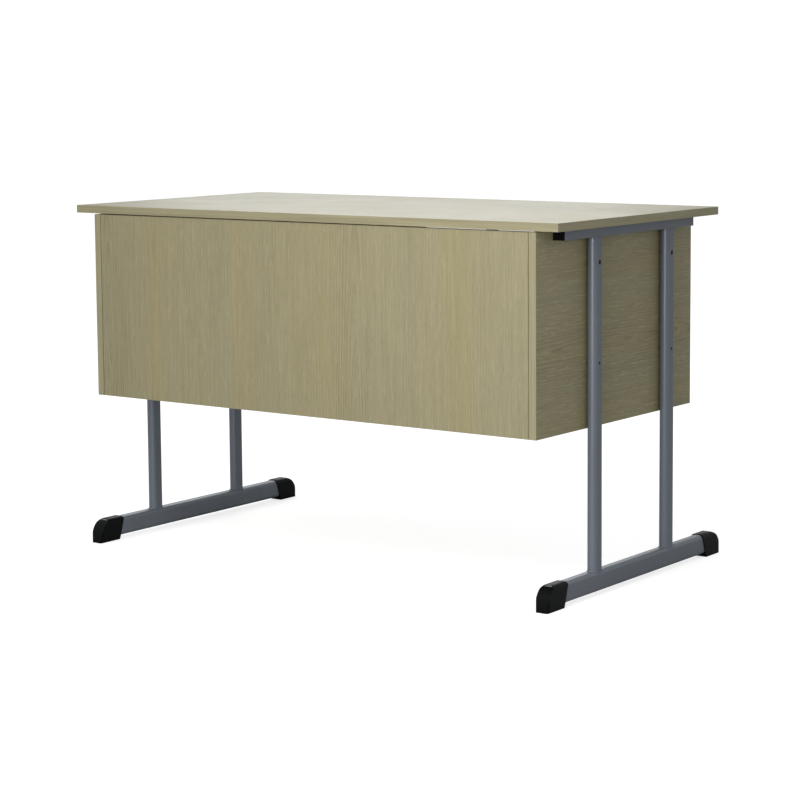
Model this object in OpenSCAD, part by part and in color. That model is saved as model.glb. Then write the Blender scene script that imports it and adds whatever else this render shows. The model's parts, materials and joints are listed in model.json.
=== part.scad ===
// Teacher's desk: a board top and three hanging panels on two welded steel frames,
// with a pedestal of one drawer and one cupboard behind the front panel.
// Millimetres, Z up. X runs along the desk, the class side is -Y and the teacher sits at +Y.
// The origin is on the floor, under the middle of the feet.

/* [Desk top] */
// Length of the desk top
top_l = 1200; // [1160:10:1400]
// Depth of the desk top
top_w = 600; // [590:5:620]
// Height of the desk
desk_h = 720; // [700:5:780]
// Thickness of every board
board_t = 16; // [16:1:18]
// Thickness of the plastic edge band
band_t = 1; // [0.5:0.5:2]
// How far the top's middle lies in front of the feet's middle
top_lead = 28; // [20:1:34]

/* [Panels] */
// Height of the front, side and pedestal panels
panel_h = 382; // [372:5:402]
// Gap between the panels and the desk top
panel_gap = 2; // [1.5:0.5:6]
// Width over the two side panels
body_w = 1102; // [1060:2:1120]
// How far the top overhangs the side panels at the front
front_overhang = 2; // [0:1:10]
// How far the top overhangs the side panels at the back
back_overhang = 24; // [22:1:30]
// How far the front panel is set back between the side panels
front_recess = 0.5; // [0.5:0.5:4]
// Play between the front panel's ends and the side panels
front_play = 1.2; // [0:0.1:1.5]

/* [Steel frames] */
// Length of a foot over its two caps
foot_l = 660; // [640:5:700]
// Width of the foot bar and the top rail
tube_w = 25; // [25:1:30]
// Height of the foot bar
foot_tube_h = 40; // [36:1:45]
// Height of the foot bar's underside above the floor
foot_lift = 7; // [6:1:10]
// Height of the top rail
rail_h = 20; // [20:1:25]
// Length of the top rail over its plugs
rail_l = 482; // [470:2:520]
// Thickness of an upright across the desk's length
upright_w = 22; // [20:1:22]
// Depth of an upright along the foot
upright_d = 32; // [28:1:36]
// Distance between the two uprights of a frame
upright_pitch = 272; // [260:2:290]
// How far the uprights' middle lies in front of the feet's middle
upright_lead = 6; // [0:1:12]
// Wall thickness of the steel tubes
tube_wall = 1.5; // [1.2:0.1:2]

/* [Pedestal] */
// Clear width inside the pedestal
pedestal_w = 400; // [380:5:440]
// Height of the drawer front
drawer_front_h = 142; // [137:1:147]
// Length of the drawer slides
slide_l = 450; // [400:50:500]
// Thickness of a drawer slide
slide_t = 12.7; // [12.7:0.1:13]

/* [Fittings] */
// Distance between a handle's two posts
handle_pitch = 128; // [96:32:128]
// Diameter of a handle's bar
handle_d = 10; // [8:1:12]
// Distance from a front's face to the handle's axis
handle_reach = 28; // [24:1:32]

/* [Hidden] */
$fn = 40;

// Colours
oak = [0.66, 0.62, 0.49];
oak_edge = [0.62, 0.58, 0.44];
steel_grey = [0.42, 0.44, 0.48];
black_plastic = [0.08, 0.08, 0.08];
zinc = [0.72, 0.72, 0.7];
beech = [0.8, 0.66, 0.46];
hardboard = [0.86, 0.85, 0.82];

// Axis numbers, for a board's thickness direction
ALONG_X = 0;
ALONG_Y = 1;
ALONG_Z = 2;

// How far a cut runs past the face that it opens
past = 1;

// Play of a hole around what sits in it, and its extra depth
hole_ease = 0.1;
hole_over = 0.5;

// Heights
top_z = desk_h - board_t;
panel_top = top_z - panel_gap;
panel_z = panel_top - panel_h;
shelf_z = panel_top - drawer_front_h - board_t;

// Places along Y
top_y = -top_lead - top_w / 2;
side_y = top_y + front_overhang;
side_back = top_y + top_w - back_overhang;
front_y = side_y + front_recess;
panel_back = front_y + board_t;

// Places along X
side_x = body_w / 2;
inner_x = side_x - board_t;
divider_x = pedestal_w - inner_x;
frame_x = side_x + tube_w / 2;

// Boards: lowest corner, size and the axis of the thickness
top_board = [[-top_l / 2, top_y, top_z], [top_l, top_w, board_t], ALONG_Z];
front_x = inner_x - front_play;
front_board = [[-front_x, front_y, panel_z], [2 * front_x, board_t, panel_h], ALONG_Y];
left_board = [[-side_x, side_y, panel_z], [board_t, side_back - side_y, panel_h], ALONG_X];
right_board = [[inner_x, side_y, panel_z], [board_t, side_back - side_y, panel_h], ALONG_X];
divider_board = [[divider_x, panel_back, panel_z], [board_t, side_back - panel_back, panel_h],
                 ALONG_X];

// Drawer front and door, which lie over the pedestal's edges
overlay_gap = 2;
reveal = 1;
door_gap = 3;
overlay_x = -side_x + reveal;
overlay_y = side_back + overlay_gap;
overlay_w = divider_x + board_t - reveal - overlay_x;
overlay_face = overlay_y + board_t;
door_z = panel_z + reveal;
drawer_front_board = [[overlay_x, overlay_y, panel_top - drawer_front_h],
                      [overlay_w, board_t, drawer_front_h], ALONG_Y];
door_board = [[overlay_x, overlay_y, door_z],
              [overlay_w, board_t, panel_top - drawer_front_h - door_gap - door_z], ALONG_Y];

// Drawer box
box_x0 = -inner_x + slide_t;
box_x1 = divider_x - slide_t;
box_y = overlay_y - slide_l;
box_lift = 6;
box_z = shelf_z + board_t + box_lift;
box_h = 106;
drawer_bottom_t = 4;
groove_drop = 8;
groove_deep = 5;
drawer_bottom_z = box_z + groove_drop;
slide_z = box_z + box_h / 2 + 1;

// Frames
upright_y = [for (s = [-1, 1]) -upright_lead + s * upright_pitch / 2];
rail_y = -top_lead;
plug_flange = 2;
plug_depth = 18;
rail_tube_l = rail_l - 2 * plug_flange;
foot_corner = 8;
rail_corner = 2;
bar_top = foot_lift + foot_tube_h;
rail_z = top_z - rail_h;
upright_in = frame_x - upright_w / 2;
upright_out = frame_x + upright_w / 2;
spacer_t = upright_in - side_x;
spacer_d = 14;
spacer_hole = 5;
weld_gap = 0.1;

// Foot caps: the curved nose is a quarter of an ellipse in side view
cap_wall = 2.3;
cap_w = tube_w + 2 * cap_wall;
cap_h = bar_top + cap_wall;
cap_round = foot_corner + cap_wall;
cap_nose_round = 8;
cap_sole_round = 1.5;
cap_ease = 0.3;
cap_nose = 39;
cap_top_l = 72;
cap_notch_l = 61;
cap_sole_l = 58;
cap_corner = 5;
cap_stop = 25;

// Screws: point under the head, direction, diameter and length
upper_screw_z = panel_top - 66;
lower_screw_z = panel_top - 257;
upper_screw_d = 4.5;
lower_screw_d = 3;
panel_screw_bite = 12;
upper_head_depth = 5.5;
bush_d = 8.6;
upper_access_d = 9;
lower_access_d = 6;
rail_access_d = 10;
rail_screw_d = 4.5;
rail_screw_pitch = 200;
rail_screw_bite = 12.5;
rail_screw_ys = [for (k = [-1, 0, 1]) rail_y + k * rail_screw_pitch];
rail_screw_list = [for (s = [-1, 1], y = rail_screw_ys)
    [[s * frame_x, y, top_z - tube_wall], [0, 0, 1], rail_screw_d, tube_wall + rail_screw_bite]];
upper_seat = upright_out - upper_head_depth;
lower_seat = upright_in + tube_wall;
function panel_screw_row(s, seat, z, d) = [for (y = upright_y)
    [[s * seat, y, z], [-s, 0, 0], d, seat - side_x + panel_screw_bite]];
function panel_screw_side(s) =
    concat(panel_screw_row(s, upper_seat, upper_screw_z, upper_screw_d),
           panel_screw_row(s, lower_seat, lower_screw_z, lower_screw_d));

// Corner brackets: inner corner and the turn that points the bracket away from its panel
bracket_leg = 22;
bracket_w = 12;
bracket_t = 3;
bracket_web_t = 2;
bracket_hole = 14;
bracket_screw_d = 3.5;
bracket_screw_l = 15;
bracket_x = 437;
bracket_ys = [-230, 190];
front_brackets = [for (s = [-1, 1]) [[s * bracket_x, panel_back, top_z], 0]];
left_brackets = [for (y = bracket_ys) [[-inner_x, y, top_z], -90]];
right_brackets = [for (y = bracket_ys) [[inner_x, y, top_z], 90]];
divider_brackets = [for (y = bracket_ys) [[divider_x + board_t, y, top_z], -90]];
all_brackets = concat(front_brackets, left_brackets, right_brackets, divider_brackets);
function swing(p, a) = [p[0] * cos(a) - p[1] * sin(a), p[0] * sin(a) + p[1] * cos(a), p[2]];
function bracket_panel_screws(list) = [for (b = list)
    [b[0] + swing([0, bracket_t, -bracket_hole], b[1]), swing([0, -1, 0], b[1]),
     bracket_screw_d, bracket_screw_l]];
function bracket_top_screws(list) = [for (b = list)
    [b[0] + swing([0, bracket_hole, -bracket_t], b[1]), [0, 0, 1],
     bracket_screw_d, bracket_screw_l]];

// Cam joints: point where the boards meet, direction into the edge board, and the cam's face
cam_d = 15;
cam_deep = 12.5;
cam_reach = 24;
bolt_d = 6;
bolt_bite = 11;
dowel_d = 8;
dowel_l = 30;
cam_slot = [8, 1.5, 2];
front_mid_y = front_y + board_t / 2;
level_joint_ys = [-220, 150];
panel_joint_zs = [panel_z + 60, panel_top - 70];
front_joints = [for (s = [-1, 1], z = panel_joint_zs)
    [[s * inner_x, front_mid_y, z], [-s, 0, 0], [0, 1, 0]]];
divider_joints = [for (z = panel_joint_zs)
    [[divider_x + board_t / 2, panel_back, z], [0, 1, 0], [-1, 0, 0]]];
function level_joints(z, side) = [for (y = level_joint_ys)
    [[side < 0 ? -inner_x : divider_x, y, z + board_t / 2], [-side, 0, 0], [0, 0, -1]]];
left_level_joints = concat(level_joints(panel_z, -1), level_joints(shelf_z, -1));
divider_level_joints = concat(level_joints(panel_z, 1), level_joints(shelf_z, 1));
all_joints = concat(front_joints, divider_joints, left_level_joints, divider_level_joints);
dowel_step = 32;

// Drawer dowels: point on the joint and direction into the side or back
drawer_dowel_zs = [for (k = [0.23, 0.85]) box_z + k * box_h];
front_dowels = [for (x = [box_x0, box_x1 - board_t], z = drawer_dowel_zs)
    [[x + board_t / 2, overlay_y, z], [0, -1, 0]]];
back_dowels = [for (s = [-1, 1], z = drawer_dowel_zs)
    [[s < 0 ? box_x0 + board_t : box_x1 - board_t, box_y + board_t / 2, z], [-s, 0, 0]]];

// Drawer slides, drawn with u measured from the cabinet wall and z from the slide's middle
slide_wall = 1.2;
cabinet_u = [0, 9.5];
middle_u = [2.5, 10.2];
drawer_u = [5, slide_t];
cabinet_half = 22.5;
middle_half = 19;
drawer_half = 15.5;
slide_screw_ys = [for (k = [0.1, 0.5, 0.9]) box_y + k * slide_l];
slide_screw_step = 15;
slide_screw_d = 3.5;
slide_screw_l = 12;
slide_head_d = 7;
slide_head_t = 1;
cabinet_slide_screws = [for (s = [-1, 1], y = slide_screw_ys)
    [[s < 0 ? slide_wall - inner_x : divider_x - slide_wall, y, slide_z], [s, 0, 0],
     slide_screw_d, slide_screw_l]];
drawer_slide_screws = [for (s = [-1, 1], y = slide_screw_ys)
    [[s < 0 ? box_x0 - slide_wall : box_x1 + slide_wall, y + slide_screw_step, slide_z],
     [-s, 0, 0], slide_screw_d, slide_screw_l]];

// Handles: middle of the handle on the front's face, and the direction of its bar
handle_post_d = 8;
handle_end = 12;
handle_screw_d = 4;
handle_screw_bite = 9;
overlay_mid_x = overlay_x + overlay_w / 2;
door_edge_inset = 23;
drawer_handle_drop = 9;
door_handle_z = door_z + 110;
drawer_handle_at = [overlay_mid_x, overlay_face,
                    panel_top - drawer_front_h / 2 - drawer_handle_drop];
door_handle_at = [divider_x - door_edge_inset, overlay_face, door_handle_z];

// Locks: the axis where it meets the front's face
lock_d = 16;
lock_flange_d = 20;
lock_flange_t = 1.5;
lock_tail = 12;
plug_d = 12;
plug_fit = 0.05;
plug_proud = 1;
cam_rivet_d = 6;
lock_cam_t = 2;
lock_cam_w = 10;
lock_cam_l = 18;
lock_cam_gap = 1;
key_w = 2;
key_h = 7;
key_deep = 14;
drawer_lock_drop = 22;
door_lock_z = door_z + 204;
drawer_lock_at = [overlay_mid_x, overlay_face, panel_top - drawer_lock_drop];
door_lock_at = [divider_x - door_edge_inset, overlay_face, door_lock_z];
lock_tail_y = overlay_y - lock_tail;
strike_t = 1.5;
strike_y = lock_tail_y + 0.5;
strike_w = 30;
drawer_strike_drop = 14;
door_strike_reach = 14;
strike_foot = 18;
strike_screw_step = 8;
strike_screw_inset = 10;

// Hinges: a pin just outside the left side panel's back corner
hinge_h = 50;
hinge_zs = [door_z + 40, door_z + 150];
leaf_t = 0.9;
knuckle_r = 3;
knuckle_fit = 0.3;
pin_r = 1.5;
pin_fit = 0.05;
hinge_x = -side_x - knuckle_r - 0.5;
hinge_y = side_back + overlay_gap / 2;
fixed_leaf_w = 15;
moving_leaf_w = 28;
knuckles = 5;
knuckle_gap = 0.2;
small_screw_d = 3;
small_screw_l = 12;
hinge_head_d = 6;
hinge_screw_step = 6;
function hinge_screws(x, y, dir) = [for (z = hinge_zs, k = [0.2, 0.8])
    [[x, y, z + k * hinge_h], dir, small_screw_d, small_screw_l]];
hinge_fixed_screws = hinge_screws(-inner_x - hinge_screw_step, side_back + leaf_t, [0, -1, 0]);
hinge_door_screw_list = hinge_screws(-inner_x + hinge_screw_step, overlay_y - leaf_t, [0, 1, 0]);

// Magnetic catch under the shelf, with its plate on the door
catch_size = [45, 14, 12];
catch_x = divider_x - 95;
catch_y = side_back - catch_size[1] + 0.5;
catch_ear_t = 3;
catch_screw_x = 16;
catch_head_room = 6.4;
catch_plate_w = 20;
catch_plate_t = 1;
strike_top_screws = [for (s = [-1, 1])
    [[drawer_lock_at[0] + s * strike_screw_step, strike_y - strike_screw_inset, top_z - strike_t],
     [0, 0, 1], small_screw_d, small_screw_l]];
strike_divider_screws = [for (s = [-1, 1])
    [[divider_x - strike_t, strike_y - strike_screw_inset, door_lock_at[2] + s * strike_screw_step],
     [1, 0, 0], small_screw_d, small_screw_l]];
catch_screws = [for (s = [-1, 1])
    [[catch_x + s * catch_screw_x, catch_y + catch_size[1] / 2, shelf_z - catch_ear_t],
     [0, 0, 1], small_screw_d, small_screw_l + 1]];

// Turns a shape that stands along +Z to a direction along one of the axes
module orient(dir) {
    turn = dir[0] != 0 ? [0, 90 * dir[0], 0]
         : dir[1] != 0 ? [-90 * dir[1], 0, 0]
         : dir[2] < 0 ? [180, 0, 0] : [0, 0, 0];
    rotate(turn) children();
}

// A point moved along a direction
function along(p, dir, d) = p + d * dir;

// Lowest corner and size of a board's core, inside its edge band
function core_at(b) = [for (i = [0:2]) b[0][i] + (i == b[2] ? 0 : band_t)];
function core_size(b) = [for (i = [0:2]) b[1][i] - (i == b[2] ? 0 : 2 * band_t)];

// A board without its edge band, less the shapes given
module board_core(b) {
    difference() {
        translate(core_at(b)) cube(core_size(b));
        children();
    }
}

// The band around a board's four edges
module edge_band(b) {
    through = [for (i = [0:2]) i == b[2] ? past : 0];
    difference() {
        translate(b[0]) cube(b[1]);
        translate(core_at(b) - through) cube(core_size(b) + 2 * through);
    }
}

// A pan head screw, its head in proportion to its shank
module screw(s) {
    head_h = 0.6 * s[2];
    head_d = 1.8 * s[2];
    translate(s[0]) orient(s[1]) {
        cylinder(d = s[2], h = s[3]);
        translate([0, 0, -head_h]) cylinder(d = head_d, h = head_h);
    }
}

// A screw with a thin flat head that lies on or in a steel strip
module flat_screw(s, head_d, head_t, sunk) {
    translate(s[0]) orient(s[1]) {
        cylinder(d = s[2], h = s[3]);
        translate([0, 0, sunk ? 0 : -head_t]) cylinder(d = head_d, h = head_t);
    }
}

// The holes that a list of screws needs
module pilots(list) {
    for (s = list)
        translate(s[0]) orient(s[1]) translate([0, 0, -past])
            cylinder(d = s[2] + hole_ease, h = s[3] + past + hole_over);
}

// The pockets that a list of cam joints needs
module joint_pockets(list) {
    for (j = list) {
        cam_fitting(j, hole_ease);
        bolt(j, hole_ease);
        joint_dowels(j, hole_ease);
    }
}

// A cam fitting, sunk in the face of its board
module cam_fitting(j, extra) {
    deep = cam_deep + extra;
    translate(along(along(j[0], j[1], cam_reach), j[2], board_t / 2 - cam_deep))
        orient(j[2]) cylinder(d = cam_d + extra, h = deep);
}

// A bolt from the face of one board into the cam in the other
module bolt(j, extra) {
    translate(along(j[0], j[1], -bolt_bite)) orient(j[1])
        cylinder(d = bolt_d + extra, h = bolt_bite + cam_reach - cam_d / 2);
}

// The dowel beside a bolt, along the joint
module joint_dowels(j, extra) {
    step = j[1][1] != 0 || j[2][1] != 0 ? [0, 0, dowel_step] : [0, dowel_step, 0];
    dowel([j[0] + step, j[1]], extra);
}

// A dowel across a joint
module dowel(j, extra) {
    translate(along(j[0], j[1], -bolt_bite)) orient(j[1])
        cylinder(d = dowel_d + extra, h = dowel_l);
}

// A rectangle with round corners, about the origin
module round_rect(w, h, r) {
    square([w, h - 2 * r], center = true);
    square([w - 2 * r, h], center = true);
    for (x = [r - w / 2, w / 2 - r], y = [r - h / 2, h / 2 - r])
        translate([x, y]) circle(r = r);
}

// A flat oval, its long way along the second axis
module flat_oval(w, d) {
    square([w, d - w], center = true);
    for (s = [-1, 1]) translate([0, s * (d - w) / 2]) circle(d = w);
}

// A tube along Y, its middle at y, with its lowest side at z
module tube_y(x, y, z, w, h, r, l) {
    translate([x, y + l / 2, z + h / 2]) rotate([90, 0, 0]) linear_extrude(l)
        difference() {
            round_rect(w, h, r);
            round_rect(w - 2 * tube_wall, h - 2 * tube_wall, max(r - tube_wall, 0.5));
        }
}

// One top rail, with holes for its screws and for the driver that turns them
module top_rail(s) {
    color(steel_grey) difference() {
        tube_y(s * frame_x, rail_y, rail_z, tube_w, rail_h, rail_corner, rail_tube_l);
        for (y = rail_screw_ys) {
            translate([s * frame_x, y, top_z - 2 * tube_wall])
                cylinder(d = rail_screw_d + hole_ease, h = 3 * tube_wall);
            translate([s * frame_x, y, rail_z - tube_wall])
                cylinder(d = rail_access_d, h = 3 * tube_wall);
        }
    }
}

// One upright, coped over the foot bar's round top, with its screw holes on the inside
// and the larger access holes on the outside
module upright(s, y) {
    cope_z = bar_top - foot_corner;
    holes = [[upper_screw_z, upper_access_d, bush_d],
             [lower_screw_z, lower_access_d, lower_screw_d]];
    color(steel_grey) difference() {
        translate([s * frame_x, y, cope_z]) linear_extrude(rail_z - cope_z)
            difference() {
                flat_oval(upright_w, upright_d);
                flat_oval(upright_w - 2 * tube_wall, upright_d - 2 * tube_wall);
            }
        translate([s * frame_x, y, foot_lift + foot_tube_h / 2]) rotate([90, 0, 0])
            linear_extrude(upright_d + 2 * past, center = true)
                round_rect(tube_w + weld_gap, foot_tube_h, foot_corner);
        for (hole = holes) {
            translate([s * (upright_in - tube_wall), y, hole[0]]) orient([s, 0, 0])
                cylinder(d = hole[2] + hole_ease, h = 3 * tube_wall);
            translate([s * (upright_out - 2 * tube_wall), y, hole[0]]) orient([s, 0, 0])
                cylinder(d = hole[1], h = 3 * tube_wall);
        }
    }
}

// One foot bar, stopping inside its caps
module foot_bar(s) {
    color(steel_grey)
        tube_y(s * frame_x, 0, foot_lift, tube_w, foot_tube_h, foot_corner,
               foot_l - 2 * cap_stop);
}

// Side outline of a foot cap, measured from its tip
module cap_outline() {
    nose = [for (a = [0:3:90]) [cap_nose * (1 - cos(a)), cap_h * sin(a)]];
    corner = [for (a = [90:-15:0])
        [cap_top_l - cap_corner * (1 - cos(a)), cap_h - cap_corner * (1 - sin(a))]];
    polygon(concat(nose, corner, [[cap_notch_l, foot_lift], [cap_sole_l, 0]]));
}

// Outline of a foot cap from above, the nose at y = 0
module cap_plan() {
    translate([0, cap_top_l / 2]) round_rect(cap_w, cap_top_l, cap_nose_round);
    translate([-cap_w / 2, cap_top_l / 2]) square([cap_w, cap_top_l / 2]);
}

// Outline of a foot cap from its end: round over the bar, nearly square at the sole
module cap_section() {
    translate([0, cap_h / 2]) round_rect(cap_w, cap_h, cap_round);
    translate([0, cap_round]) round_rect(cap_w, 2 * cap_round, cap_sole_round);
}

// One foot cap, a shell over the end of the bar with a thick sole
module foot_cap(s, end) {
    difference() {
        mirror([0, end > 0 ? 1 : 0, 0]) translate([s * frame_x, -foot_l / 2, 0])
            intersection() {
                translate([-cap_w / 2, 0, 0]) rotate([90, 0, 90])
                    linear_extrude(cap_w) cap_outline();
                linear_extrude(cap_h) cap_plan();
                rotate([90, 0, 0]) mirror([0, 0, 1]) linear_extrude(cap_top_l) cap_section();
            }
        translate([s * frame_x, 0, foot_lift + foot_tube_h / 2]) rotate([90, 0, 0])
            linear_extrude(foot_l - 2 * cap_stop, center = true)
                round_rect(tube_w, foot_tube_h, foot_corner - cap_ease);
    }
}

module foot_caps(s) {
    color(black_plastic) for (end = [-1, 1]) foot_cap(s, end);
}

module desk_top() {
    color(oak) board_core(top_board) {
        pilots(rail_screw_list);
        pilots(bracket_top_screws(all_brackets));
        pilots(strike_top_screws);
    }
}

module desk_top_edge_band() {
    color(oak_edge) edge_band(top_board);
}

module front_panel() {
    color(oak) board_core(front_board) {
        pilots(bracket_panel_screws(front_brackets));
        joint_pockets(front_joints);
        joint_pockets(divider_joints);
    }
}

module left_side_panel() {
    color(oak) board_core(left_board) {
        pilots(panel_screw_side(-1));
        pilots(bracket_panel_screws(left_brackets));
        pilots([for (k = [0:2]) cabinet_slide_screws[k]]);
        pilots(hinge_fixed_screws);
        joint_pockets(front_joints);
        joint_pockets(left_level_joints);
    }
}

module right_side_panel() {
    color(oak) board_core(right_board) {
        pilots(panel_screw_side(1));
        pilots(bracket_panel_screws(right_brackets));
        joint_pockets(front_joints);
    }
}

// Bands of the front panel, the side panels and the divider
module panel_edge_bands() {
    color(oak_edge) difference() {
        for (b = [front_board, left_board, right_board, divider_board]) edge_band(b);
        pilots(hinge_fixed_screws);
        joint_pockets(front_joints);
        joint_pockets(divider_joints);
    }
}

module pedestal_divider() {
    color(oak) board_core(divider_board) {
        pilots(bracket_panel_screws(divider_brackets));
        pilots([for (k = [3:5]) cabinet_slide_screws[k]]);
        pilots(strike_divider_screws);
        joint_pockets(divider_joints);
        joint_pockets(divider_level_joints);
    }
}

// A level board of the pedestal, with the pockets of its own joints
module level_board(z) {
    difference() {
        translate([-inner_x, panel_back, z])
            cube([pedestal_w, side_back - panel_back, board_t]);
        joint_pockets(concat(level_joints(z, -1), level_joints(z, 1)));
        children();
    }
}

module pedestal_bottom() {
    color(oak) level_board(panel_z);
}

module pedestal_shelf() {
    color(oak) level_board(shelf_z) pilots(catch_screws);
}

module rail_end_plugs() {
    insert_w = tube_w - 2 * tube_wall;
    insert_h = rail_h - 2 * tube_wall;
    insert_corner = 0.5;
    color(black_plastic) for (s = [-1, 1], end = [-1, 1])
        translate([s * frame_x, rail_y + end * rail_tube_l / 2, rail_z + rail_h / 2])
            rotate([-90 * end, 0, 0]) {
                linear_extrude(plug_flange) round_rect(tube_w, rail_h, rail_corner);
                translate([0, 0, -plug_depth]) linear_extrude(plug_depth)
                    round_rect(insert_w, insert_h, insert_corner);
            }
}

// A washer between an upright and its panel, with a bush that may reach into the upright
module upright_spacer(s, y, z, reach) {
    translate([s * side_x, y, z]) orient([s, 0, 0]) difference() {
        union() {
            cylinder(d = spacer_d, h = spacer_t);
            cylinder(d = bush_d, h = reach);
        }
        translate([0, 0, -past]) cylinder(d = spacer_hole, h = reach + 2 * past);
    }
}

module upright_spacers() {
    color(black_plastic) for (s = [-1, 1], y = upright_y) {
        upright_spacer(s, y, upper_screw_z, upper_seat - side_x);
        upright_spacer(s, y, lower_screw_z, spacer_t);
    }
}

module panel_screws() {
    color(zinc) for (s = [-1, 1], k = panel_screw_side(s)) screw(k);
}

module rail_screws() {
    color(zinc) for (k = rail_screw_list) screw(k);
}

// One bracket: two legs and two webs between them
module corner_bracket() {
    leg = bracket_leg;
    hole_d = bracket_screw_d + hole_ease;
    difference() {
        union() {
            translate([-bracket_w / 2, 0, -leg]) cube([bracket_w, bracket_t, leg]);
            translate([-bracket_w / 2, 0, -bracket_t]) cube([bracket_w, leg, bracket_t]);
            for (x = [-bracket_w / 2, bracket_w / 2 - bracket_web_t])
                translate([x, 0, 0]) rotate([90, 0, 90]) linear_extrude(bracket_web_t)
                    polygon([[0, 0], [leg, 0], [leg, -bracket_t], [bracket_t, -leg], [0, -leg]]);
        }
        translate([0, bracket_hole, -leg]) cylinder(d = hole_d, h = leg + past);
        translate([0, -past, -bracket_hole]) rotate([-90, 0, 0]) cylinder(d = hole_d, h = leg);
    }
}

module corner_brackets() {
    color(black_plastic) for (b = all_brackets)
        translate(b[0]) rotate([0, 0, b[1]]) corner_bracket();
}

module bracket_screws() {
    color(zinc) {
        for (k = bracket_panel_screws(all_brackets)) screw(k);
        for (k = bracket_top_screws(all_brackets)) screw(k);
    }
}

// Cams with a cross slot for the screwdriver
module cam_locks() {
    color(zinc) for (j = all_joints) difference() {
        cam_fitting(j, 0);
        translate(along(along(j[0], j[1], cam_reach), j[2], board_t / 2 - cam_slot[2]))
            orient(j[2]) for (a = [0, 90])
                rotate(a) translate([-cam_slot[0] / 2, -cam_slot[1] / 2, 0])
                    cube(cam_slot + [0, 0, past]);
    }
}

module cam_bolts() {
    color(zinc) for (j = all_joints) bolt(j, 0);
}

module dowels() {
    color(beech) for (j = all_joints) joint_dowels(j, 0);
}

module drawer_front() {
    color(oak) board_core(drawer_front_board) {
        translate([box_x0 + board_t - groove_deep, overlay_y - past, drawer_bottom_z])
            cube([box_x1 - box_x0 - 2 * (board_t - groove_deep), groove_deep + past,
                  drawer_bottom_t]);
        for (j = front_dowels) dowel(j, hole_ease);
        lock_bore(drawer_lock_at);
        handle_holes(drawer_handle_at, ALONG_X);
    }
}

module drawer_front_edge_band() {
    color(oak_edge) edge_band(drawer_front_board);
}

// One drawer side: s is -1 on the left and 1 on the right
module drawer_side(s) {
    x = s < 0 ? box_x0 : box_x1 - board_t;
    groove_x = s < 0 ? x + board_t - groove_deep : x;
    first = s < 0 ? 0 : 3;
    color(oak) difference() {
        translate([x, box_y, box_z]) cube([board_t, slide_l, box_h]);
        translate([groove_x - (s < 0 ? 0 : past), box_y - past, drawer_bottom_z])
            cube([groove_deep + past, slide_l + 2 * past, drawer_bottom_t]);
        for (j = concat(front_dowels, back_dowels)) dowel(j, hole_ease);
        pilots([for (k = [first:first + 2]) drawer_slide_screws[k]]);
    }
}

module drawer_back() {
    z = drawer_bottom_z + drawer_bottom_t;
    color(oak) difference() {
        translate([box_x0 + board_t, box_y, z])
            cube([box_x1 - box_x0 - 2 * board_t, board_t, box_z + box_h - z]);
        for (j = back_dowels) dowel(j, hole_ease);
    }
}

module drawer_bottom() {
    inset = board_t - groove_deep;
    color(hardboard) translate([box_x0 + inset, box_y, drawer_bottom_z])
        cube([box_x1 - box_x0 - 2 * inset, slide_l + groove_deep, drawer_bottom_t]);
}

module drawer_dowels() {
    color(beech) for (j = concat(front_dowels, back_dowels)) dowel(j, 0);
}

// Section of a slide member: a web and two flanges, from u[0] to u[1]
module slide_section(u, half, web_first) {
    web_u = web_first ? u[0] : u[1] - slide_wall;
    translate([web_u, -half]) square([slide_wall, 2 * half]);
    for (z = [-half, half - slide_wall]) translate([u[0], z]) square([u[1] - u[0], slide_wall]);
}

// The same member on both sides of the drawer, with its screw holes
module slide_pair(u, half, web_first, screws) {
    for (s = [-1, 1])
        translate([s < 0 ? -inner_x : divider_x, box_y, slide_z])
            mirror([s < 0 ? 0 : 1, 0, 0]) rotate([90, 0, 0]) mirror([0, 0, 1])
                difference() {
                    linear_extrude(slide_l) slide_section(u, half, web_first);
                    for (k = screws) translate([-past, 0, k[0][1] - box_y])
                        rotate([0, 90, 0])
                            cylinder(d = k[2] + hole_ease, h = slide_t + 2 * past);
                }
}

module slide_cabinet_members() {
    color(zinc) slide_pair(cabinet_u, cabinet_half, true, cabinet_slide_screws);
}

module slide_middle_members() {
    color(zinc) slide_pair(middle_u, middle_half, true, []);
}

module slide_drawer_members() {
    color(zinc) slide_pair(drawer_u, drawer_half, false, drawer_slide_screws);
}

module slide_cabinet_screws() {
    color(zinc) for (k = cabinet_slide_screws)
        flat_screw([k[0], [k[0][0] < overlay_mid_x ? -1 : 1, 0, 0], k[2], k[3]],
                   slide_head_d, slide_head_t, false);
}

module slide_drawer_screws() {
    color(zinc) for (k = drawer_slide_screws)
        flat_screw([k[0], [k[0][0] < overlay_mid_x ? 1 : -1, 0, 0], k[2], k[3]],
                   slide_head_d, slide_head_t, false);
}

// Ends of a handle's two posts on the front's face
function handle_feet(at, axis) = [for (s = [-1, 1])
    [for (i = [0:2]) at[i] + (i == axis ? s * handle_pitch / 2 : 0)]];

// A bar handle on two posts, each with a blind hole for its screw
module bar_handle(at, axis) {
    bar_l = handle_pitch + 2 * handle_end;
    bar_dir = [for (i = [0:2]) i == axis ? 1 : 0];
    difference() {
        union() {
            translate(at + [0, handle_reach, 0] - bar_l / 2 * bar_dir)
                orient(bar_dir) cylinder(d = handle_d, h = bar_l);
            for (foot = handle_feet(at, axis))
                translate(foot) orient([0, 1, 0]) cylinder(d = handle_post_d, h = handle_reach);
        }
        for (foot = handle_feet(at, axis))
            translate(foot - [0, past, 0]) orient([0, 1, 0])
                cylinder(d = handle_screw_d + hole_ease, h = handle_screw_bite + hole_over + past);
    }
}

module handle_holes(at, axis) {
    for (foot = handle_feet(at, axis))
        translate(foot - [0, board_t + past, 0]) orient([0, 1, 0])
            cylinder(d = handle_screw_d + hole_ease, h = board_t + 2 * past);
}

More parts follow.
